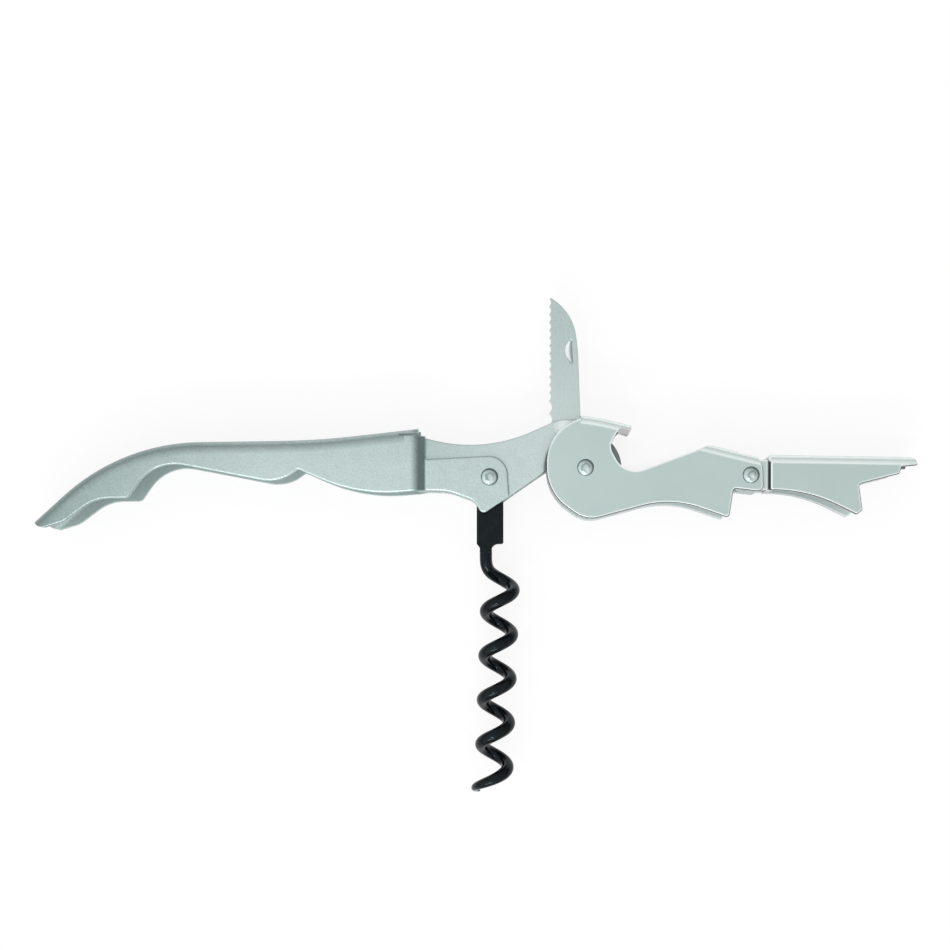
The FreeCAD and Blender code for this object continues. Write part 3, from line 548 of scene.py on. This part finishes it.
dress(blasted_steel("grip_blasted_steel", 2500.0, 0.34, 0.46, grip_painted_shade), "grip_shell")
dress(blasted_steel("plate_blasted_steel", 3300.0, 0.3, 0.42, plate_painted_shade, plate_painted_light),
      "head_plate_front", "head_plate_back")
dress(bright_plating("lever_bright_plating", 0.07), "lever_stage_1", "lever_stage_2")
dress(ground_blade("blade_ground_steel"), "blade")
dress(washer_steel("washer_plain_steel"), "lever_washer_front", "lever_washer_back",
      "blade_spacer")
for rivet, centre, head in (("worm_rivet", WORM_RIVET, WORM_RIVET_HEAD),
                            ("lever_rivet", LEVER_RIVET, LEVER_RIVET_HEAD),
                            ("stage_rivet", STAGE_RIVET, STAGE_RIVET_HEAD)):
    dress(rivet_steel(rivet + "_steel", centre, head), rivet)
worm_finish = slick_coating("worm_black_coating")
nick_finish = ground_hollow("nick_ground_steel")


def in_scene(name, data):
    """A new object in the scene."""
    made = bpy.data.objects.new(name, data)
    bpy.context.scene.collection.objects.link(made)
    return made


def new_piece(name, mesh, material, body):
    """A finished piece at the origin, riding on its body."""
    mesh.materials.clear()
    mesh.materials.append(material)
    piece = in_scene(name, mesh)
    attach(piece, body)
    return piece


def settled(maker, name):
    """The evaluated shape of a working object as a plain mesh; the object is removed."""
    bpy.context.view_layer.update()
    seen = maker.evaluated_get(bpy.context.evaluated_depsgraph_get())
    mesh = bpy.data.meshes.new_from_object(seen)
    mesh.name = name
    maker.modifiers.clear()
    bpy.data.objects.remove(maker)
    return mesh


def rounded_outline(corners):
    """Points round a closed outline of corners (x, y, radius), counted in millimetres."""
    points = []
    for i, (x, y, radius) in enumerate(corners):
        here = Vector((x, y))
        back = (Vector(corners[i - 1][:2]) - here).normalized()
        ahead = (Vector(corners[(i + 1) % len(corners)][:2]) - here).normalized()
        half = back.angle(ahead) / 2
        centre = here + (back + ahead).normalized() * (radius / math.sin(half))
        first = here + back * (radius / math.tan(half)) - centre
        turn = first.angle_signed(here + ahead * (radius / math.tan(half)) - centre)
        steps = max(3, math.ceil(abs(turn) / ARC_STEP))
        for k in range(steps + 1):
            points.append(centre + Matrix.Rotation(-turn * k / steps, 2) @ first)
    return points


def wall(shape, first, second):
    """Faces between two closed rings with as many corners."""
    for i in range(len(first)):
        j = (i + 1) % len(first)
        shape.faces.new((first[i], first[j], second[j], second[i]))


def smooth_mesh(shape, name):
    """The shape as a smooth plain mesh that faces outwards; the shape is freed."""
    bmesh.ops.recalc_face_normals(shape, faces=shape.faces)
    mesh = bpy.data.meshes.new(name)
    shape.to_mesh(mesh)
    shape.free()
    mesh.shade_smooth()
    return mesh


def coil_point(angle):
    """A point of the worm's centre line, from the worm's rivet, in millimetres."""
    turn = math.radians(angle)
    opened = max(0.0, (angle - COIL_TAPER) / (COIL_LAST - COIL_TAPER))
    radius = COIL_RADIUS + POINT_SPREAD * opened ** 2
    down = COIL_START - COIL_PITCH * turn / math.tau + POINT_LIFT * opened ** 2
    flat = Vector((radius * math.cos(turn), down, radius * math.sin(turn)))
    tilted = Matrix.Rotation(math.radians(-COIL_TILT), 3, "Z") @ flat
    return tilted + Vector((COIL_AXIS, 0.0, 0.0))


def worm_line():
    """The whole centre line: straight neck, eased lead-in, turns and point."""
    x, top, low, z = NECK
    line = [Vector((x, top + (low - top) * k / NECK_STEPS, z)) for k in range(NECK_STEPS)]
    start = Vector((x, low, z))
    end = coil_point(COIL_FIRST)
    onward = (coil_point(COIL_FIRST + 0.5) - end).normalized()
    pull = (end - start).length * LEAD_PULL
    handles = (start, start + Vector((0.0, -pull, 0.0)), end - onward * pull, end)
    for k in range(LEAD_STEPS):
        t = k / LEAD_STEPS
        weights = ((1 - t) ** 3, 3 * t * (1 - t) ** 2, 3 * t * t * (1 - t), t ** 3)
        line.append(sum((h * w for h, w in zip(handles, weights)), Vector()))
    steps = int((COIL_LAST - COIL_FIRST) / COIL_STEP)
    for k in range(steps + 1):
        line.append(coil_point(COIL_FIRST + (COIL_LAST - COIL_FIRST) * k / steps))
    rivet = Vector((*WORM_RIVET, MIDDLE))
    return [rivet + point * MM for point in line]


def wound_wire_tree():
    """Sweep a round wire along a line of points and thin it towards its point."""
    tree = bpy.data.node_groups.new("wound_wire", "GeometryNodeTree")
    face = tree.interface
    face.new_socket("Line", in_out="INPUT", socket_type="NodeSocketGeometry")
    for name in ("Wire radius", "Point radius", "Taper start", "Bluntness"):
        face.new_socket(name, in_out="INPUT", socket_type="NodeSocketFloat")
    for name in ("Rings", "Sides"):
        face.new_socket(name, in_out="INPUT", socket_type="NodeSocketInt")
    face.new_socket("Coating", in_out="INPUT", socket_type="NodeSocketMaterial")
    face.new_socket("Wire", in_out="OUTPUT", socket_type="NodeSocketGeometry")
    nodes, links = tree.nodes, tree.links
    given = nodes.new("NodeGroupInput").outputs
    curve = nodes.new("GeometryNodeMeshToCurve")
    links.new(given["Line"], curve.inputs["Mesh"])
    even = nodes.new("GeometryNodeResampleCurve")
    links.new(curve.outputs["Curve"], even.inputs["Curve"])
    links.new(given["Rings"], even.inputs["Count"])
    along = nodes.new("GeometryNodeSplineParameter")
    left = nodes.new("ShaderNodeMapRange")
    links.new(along.outputs["Factor"], left.inputs["Value"])
    links.new(given["Taper start"], left.inputs["From Min"])
    left.inputs["From Max"].default_value = 1.0
    left.inputs["To Min"].default_value = 1.0
    left.inputs["To Max"].default_value = 0.0
    blunt = nodes.new("ShaderNodeMath")
    blunt.operation = "POWER"
    links.new(left.outputs["Result"], blunt.inputs[0])
    links.new(given["Bluntness"], blunt.inputs[1])
    thin = nodes.new("ShaderNodeMapRange")
    links.new(blunt.outputs["Value"], thin.inputs["Value"])
    links.new(given["Point radius"], thin.inputs["To Min"])
    links.new(given["Wire radius"], thin.inputs["To Max"])
    section = nodes.new("GeometryNodeCurvePrimitiveCircle")
    section.inputs["Radius"].default_value = 1.0
    links.new(given["Sides"], section.inputs["Resolution"])
    sweep = nodes.new("GeometryNodeCurveToMesh")
    sweep.inputs["Fill Caps"].default_value = True
    links.new(even.outputs["Curve"], sweep.inputs["Curve"])
    links.new(section.outputs["Curve"], sweep.inputs["Profile Curve"])
    links.new(thin.outputs["Result"], sweep.inputs["Scale"])
    smooth = nodes.new("GeometryNodeSetShadeSmooth")
    links.new(sweep.outputs["Mesh"], smooth.inputs["Geometry"])
    real = nodes.new("GeometryNodeRealizeInstances")
    links.new(smooth.outputs["Geometry"], real.inputs["Geometry"])
    coated = nodes.new("GeometryNodeSetMaterial")
    links.new(real.outputs["Geometry"], coated.inputs["Geometry"])
    links.new(given["Coating"], coated.inputs["Material"])
    result = nodes.new("NodeGroupOutput")
    links.new(coated.outputs["Geometry"], result.inputs["Wire"])
    return tree


def build_worm_wire():
    """The worm's round wire, from its neck to its point."""
    points = worm_line()
    mesh = bpy.data.meshes.new("worm_line")
    mesh.from_pydata(points, [(i, i + 1) for i in range(len(points) - 1)], [])
    maker = in_scene("worm_line", mesh)
    lengths = [(b - a).length for a, b in zip(points, points[1:])]
    tapered = round((COIL_LAST - COIL_TAPER) / COIL_STEP)
    taper = 1 - sum(lengths[-tapered:]) / sum(lengths)
    modifier = maker.modifiers.new("wire", "NODES")
    modifier.node_group = wound_wire_tree()
    wanted = {"Wire radius": WIRE_RADIUS * MM, "Point radius": POINT_RADIUS * MM,
              "Taper start": taper, "Bluntness": POINT_BLUNTNESS, "Rings": WIRE_RINGS,
              "Sides": WIRE_SIDES, "Coating": worm_finish}
    for item in modifier.node_group.interface.items_tree:
        if item.name in wanted:
            modifier[item.identifier] = wanted[item.name]
    return new_piece("worm_wire", settled(maker, "worm_wire"), worm_finish, "worm")


def build_worm_shank():
    """Flat top of the worm with its rivet hole and softly rounded edges."""
    shape = bmesh.new()
    outline = [(WORM_RIVET[0] + p.x * MM, WORM_RIVET[1] + p.y * MM)
               for p in rounded_outline(SHANK)]
    hole = [(WORM_RIVET[0] + RIVET_HOLE * MM * math.cos(math.tau * k / HOLE_SIDES),
             WORM_RIVET[1] + RIVET_HOLE * MM * math.sin(math.tau * k / HOLE_SIDES))
            for k in range(HOLE_SIDES)]
    for ring in (outline, hole):
        low = [shape.verts.new((x, y, SHANK_LOW * MM)) for x, y in ring]
        high = [shape.verts.new((x, y, SHANK_HIGH * MM)) for x, y in ring]
        wall(shape, low, high)
    middle = (SHANK_LOW + SHANK_HIGH) / 2 * MM
    open_edges = [edge for edge in shape.edges if len(edge.link_faces) == 1]
    lower = [edge for edge in open_edges if edge.verts[0].co.z < middle]
    upper = [edge for edge in open_edges if edge.verts[0].co.z > middle]
    for rim in (lower, upper):
        bmesh.ops.triangle_fill(shape, edges=rim, use_beauty=True, use_dissolve=False)
    maker = in_scene("worm_shank_blank", smooth_mesh(shape, "worm_shank"))
    rounded = maker.modifiers.new("rounded", "BEVEL")
    rounded.width = SHANK_ROUNDING * MM
    rounded.segments = 3
    rounded.limit_method = "ANGLE"
    rounded.angle_limit = math.radians(50)
    maker.modifiers.new("flats_first", "WEIGHTED_NORMAL").weight = 80
    return new_piece("worm_shank", settled(maker, "worm_shank"), worm_finish, "worm")


def nick_rows():
    """Rows of (x, y, height) across the nick; height is a share of the rise, 1 on the left."""
    rim = rounded_outline(NICK)
    low_y = min(p.y for p in rim)
    high_y = max(p.y for p in rim)
    rows = []
    for k in range(1, HOLLOW_STEPS):
        y = low_y + (high_y - low_y) * k / HOLLOW_STEPS
        cuts = []
        for a, b in zip(rim, rim[1:] + rim[:1]):
            if (a.y - y) * (b.y - y) < 0:
                cuts.append(a.x + (b.x - a.x) * (y - a.y) / (b.y - a.y))
        left, right = min(cuts) - HOLLOW_SHIFT, max(cuts) - HOLLOW_SHIFT
        rows.append([(left + (right - left) * j / HOLLOW_COLUMNS, y,
                      (1 - j / HOLLOW_COLUMNS) ** HOLLOW_SLOPE)
                     for j in range(HOLLOW_COLUMNS + 1)])
    return rows


def border(grid):
    """The corners round the outside of a grid, in order."""
    return (grid[0] + [row[-1] for row in grid[1:]] + grid[-1][-2::-1]
            + [row[0] for row in grid[-2:0:-1]])


def build_nick_scoop():
    """The nick's ground hollow: steep on the left, deepest along its straight side."""
    shape = bmesh.new()
    top, floor = [], []
    rise = BLADE_FACE - NICK_FLOOR - HOLLOW_SHORT
    for row in nick_rows():
        top.append([shape.verts.new((LEVER_RIVET[0] + x * MM, LEVER_RIVET[1] + y * MM,
                                     (NICK_FLOOR + HOLLOW_LIFT + rise * height) * MM))
                    for x, y, height in row])
        floor.append([shape.verts.new((LEVER_RIVET[0] + x * MM, LEVER_RIVET[1] + y * MM,
                                       (NICK_FLOOR - HOLLOW_SUNK) * MM)) for x, y, _ in row])
    for grid in (top, floor):
        for a, b in zip(grid, grid[1:]):
            for j in range(HOLLOW_COLUMNS):
                shape.faces.new((a[j], a[j + 1], b[j + 1], b[j]))
    wall(shape, border(top), border(floor))
    mesh = smooth_mesh(shape, "blade_nick_scoop")
    mesh.set_sharp_from_angle(angle=math.radians(40))
    return new_piece("blade_nick_scoop", mesh, nick_finish, "blade")


build_worm_wire()
worm_shank = build_worm_shank()
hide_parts("worm")
build_nick_scoop()


def seen_directly(nodes, links):
    """1 for a ray from the camera, a mirror or glass, and 0 for plain light."""
    path = nodes.new("ShaderNodeLightPath")
    total = path.outputs["Is Camera Ray"]
    for name in ("Is Glossy Ray", "Is Transmission Ray"):
        either = nodes.new("ShaderNodeMath")
        either.operation = "MAXIMUM"
        links.new(total, either.inputs[0])
        links.new(path.outputs[name], either.inputs[1])
        total = either.outputs["Value"]
    return total


def pale_floor():
    """A wide white floor that glows evenly to the eye and still takes the shadow."""
    mesh = bpy.data.meshes.new("studio_floor")
    reach = FLOOR_REACH
    mesh.from_pydata([(-reach, -reach, 0), (reach, -reach, 0), (reach, reach, 0),
                      (-reach, reach, 0)], [], [(0, 1, 2, 3)])
    floor = in_scene("studio_floor", mesh)
    material = bpy.data.materials.new("floor_white_paper")
    material.use_nodes = True
    nodes = material.node_tree.nodes
    links = material.node_tree.links
    nodes.clear()
    output = nodes.new("ShaderNodeOutputMaterial")
    paper = nodes.new("ShaderNodeBsdfDiffuse")
    paper.inputs["Color"].default_value = (PAPER_GREY, PAPER_GREY, PAPER_GREY, 1.0)
    glow = nodes.new("ShaderNodeEmission")
    glow.inputs["Color"].default_value = (1.0, 1.0, 1.0, 1.0)
    glow.inputs["Strength"].default_value = 1.0
    share = nodes.new("ShaderNodeMath")
    share.operation = "MULTIPLY"
    share.inputs[1].default_value = FLOOR_GLOW
    links.new(seen_directly(nodes, links), share.inputs[0])
    both = nodes.new("ShaderNodeMixShader")
    links.new(share.outputs["Value"], both.inputs["Fac"])
    links.new(paper.outputs["BSDF"], both.inputs[1])
    links.new(glow.outputs["Emission"], both.inputs[2])
    links.new(both.outputs["Shader"], output.inputs["Surface"])
    mesh.materials.append(material)


def soft_world():
    """Light tent, brighter towards the tail and the worm side and darker at the horizon.

    The camera itself sees plain white.
    """
    world = bpy.data.worlds.new("studio")
    bpy.context.scene.world = world
    world.use_nodes = True
    nodes = world.node_tree.nodes
    links = world.node_tree.links
    nodes.clear()
    output = nodes.new("ShaderNodeOutputWorld")
    way = nodes.new("ShaderNodeTexCoord")
    parts = nodes.new("ShaderNodeSeparateXYZ")
    links.new(way.outputs["Generated"], parts.inputs["Vector"])
    height = nodes.new("ShaderNodeValToRGB")
    ramp = height.color_ramp
    for position, _ in TENT_LEVELS[1:-1]:
        ramp.elements.new(position)
    for stop, (position, level) in zip(ramp.elements, TENT_LEVELS):
        stop.position = position
        stop.color = (level, level, level, 1.0)
    links.new(parts.outputs["Z"], height.inputs["Fac"])
    side = nodes.new("ShaderNodeVectorMath")
    side.operation = "DOT_PRODUCT"
    side.inputs[1].default_value = TENT_LEAN
    links.new(way.outputs["Generated"], side.inputs[0])
    lean = nodes.new("ShaderNodeMath")
    lean.operation = "ADD"
    lean.inputs[1].default_value = 1.0
    links.new(side.outputs["Value"], lean.inputs[0])
    sky = nodes.new("ShaderNodeBackground")
    links.new(height.outputs["Color"], sky.inputs["Color"])
    links.new(lean.outputs["Value"], sky.inputs["Strength"])
    white = nodes.new("ShaderNodeBackground")
    white.inputs["Color"].default_value = (1.0, 1.0, 1.0, 1.0)
    white.inputs["Strength"].default_value = 1.0
    seen = nodes.new("ShaderNodeLightPath")
    both = nodes.new("ShaderNodeMixShader")
    links.new(seen.outputs["Is Camera Ray"], both.inputs["Fac"])
    links.new(sky.outputs["Background"], both.inputs[1])
    links.new(white.outputs["Background"], both.inputs[2])
    links.new(both.outputs["Shader"], output.inputs["Surface"])


def soft_lamp(name, place, size, power):
    """A soft box at a place, turned towards the middle of the tool."""
    light = bpy.data.lights.new(name, "AREA")
    light.shape = "RECTANGLE"
    light.size, light.size_y = size
    light.energy = power
    lamp = in_scene(name, light)
    lamp.location = place
    lamp.rotation_mode = "QUATERNION"
    lamp.rotation_quaternion = Vector(place).to_track_quat("Z", "Y")


def photo_camera():
    """The camera over the tool, framed as the photograph is."""
    lens = bpy.data.cameras.new("photo_camera")
    lens.sensor_width = SENSOR_WIDTH
    lens.lens = LENS
    lens.shift_x = IMAGE_SHIFT[0] / IMAGE_SIDE
    lens.shift_y = IMAGE_SHIFT[1] / IMAGE_SIDE
    lens.clip_start = NEAREST_SEEN
    camera = in_scene("photo_camera", lens)
    camera.location = CAMERA_PLACE
    return camera


pale_floor()
soft_world()
soft_lamp("front_soft_box", *FRONT_SOFT_BOX)
soft_lamp("worm_strip_light", *WORM_STRIP_LIGHT)
bpy.context.scene.camera = photo_camera()
bpy.context.scene.view_settings.view_transform = "Standard"
